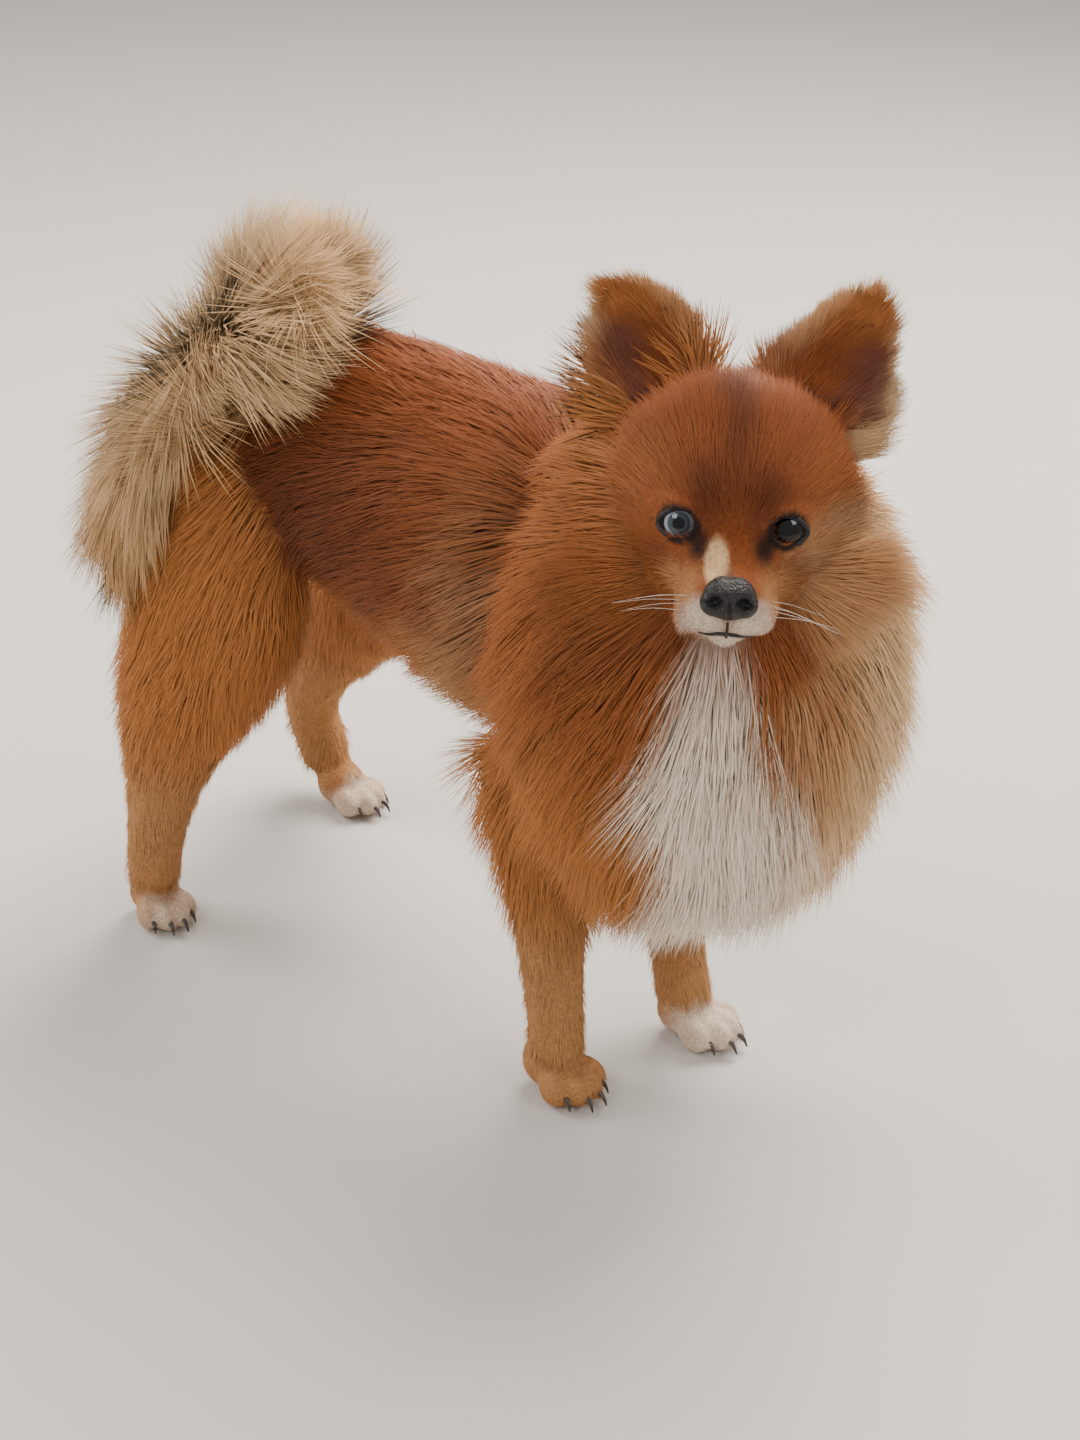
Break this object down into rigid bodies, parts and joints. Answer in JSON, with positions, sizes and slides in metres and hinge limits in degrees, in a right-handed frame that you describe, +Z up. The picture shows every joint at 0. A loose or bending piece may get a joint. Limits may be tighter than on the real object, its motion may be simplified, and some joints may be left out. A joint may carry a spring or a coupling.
{
  "type": "pomeranian dog figure",
  "caption": "Life-size standing pomeranian, head turned to its right and tail curled over the right hip, with a long coat of overlapping locks.",
  "frame": {"origin": "on the floor under the middle of the dog's bounding box", "axes": "+Z up, -Y towards the dog's front, +X towards the dog's left"},
  "size_m": [0.1752, 0.3534, 0.3022],
  "materials": {
    "coat_red": "soft red-brown hair",
    "coat_sable": "long dark red-brown hair over orange undercoat",
    "coat_tan": "short tan hair",
    "coat_cream": "long cream and tan hair",
    "eye_dark": "wet dark brown eye",
    "eye_blue": "wet pale blue-grey eye with a dark pupil",
    "nose_leather": "moist black nose skin"
  },
  "bodies": {
    "root": {"eye_left": "eye_dark", "eye_right": "eye_blue", "nose": "nose_leather", "ear_left": "coat_red", "ear_right": "coat_red", "head": "coat_red", "front_paw_left": "coat_tan", "front_paw_right": "coat_tan", "hind_paw_left": "coat_tan", "hind_paw_right": "coat_tan", "neck_ruff": "coat_cream", "torso": "coat_sable", "front_leg_left": "coat_tan", "front_leg_right": "coat_tan", "hind_thigh_left": "coat_tan", "hind_thigh_right": "coat_tan", "hind_shank_left": "coat_tan", "hind_shank_right": "coat_tan", "tail_base": "coat_cream", "tail_plume": "coat_cream"}
  },
  "joints": []
}
